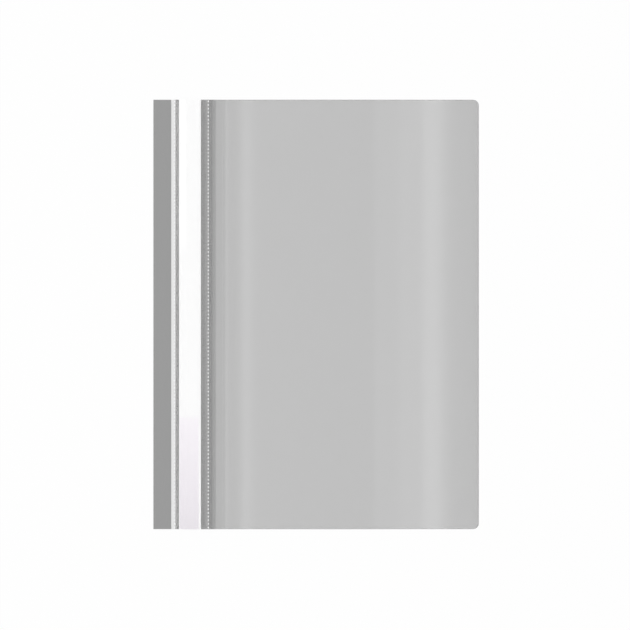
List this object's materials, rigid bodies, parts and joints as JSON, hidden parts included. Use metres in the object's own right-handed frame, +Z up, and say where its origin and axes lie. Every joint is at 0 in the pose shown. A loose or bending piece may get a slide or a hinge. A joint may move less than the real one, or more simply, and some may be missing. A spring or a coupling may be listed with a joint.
{
  "type": "fastener folder",
  "caption": "A4 report folder: clear hinged front cover, coloured back, title strip in a welded pocket, and a two-prong steel fastener with cover bar.",
  "frame": {"origin": "centre of the folder's box on the table, under its back cover", "axes": "+Y up the page, +X from the spine fold to the open edge, +Z up through the front cover"},
  "size_m": [0.235, 0.31, 0.0021],
  "materials": {
    "coloured_film": "grey polypropylene film with a fine satin surface, slightly translucent",
    "clear_film": "clear polypropylene film, glossy, with whitened weld dots",
    "title_paper": "smooth white paper with one pale tinted field, left bare",
    "fastener_steel": "nickel plated strip steel"
  },
  "bodies": {
    "back_half": {"back_cover": "coloured_film", "prong_strip": "fastener_steel", "cover_bar": "fastener_steel", "weld_margin": "clear_film"},
    "front_half": {"front_cover": "clear_film", "title_strip": "title_paper", "title_pocket": "clear_film"}
  },
  "joints": [
    {"name": "cover_hinge", "type": "hinge", "parent": "back_half", "child": "front_half", "pos_m": [-0.10035, 0, 0.0015], "axis": [0, -1, 0], "range_deg": [0, 180]}
  ]
}
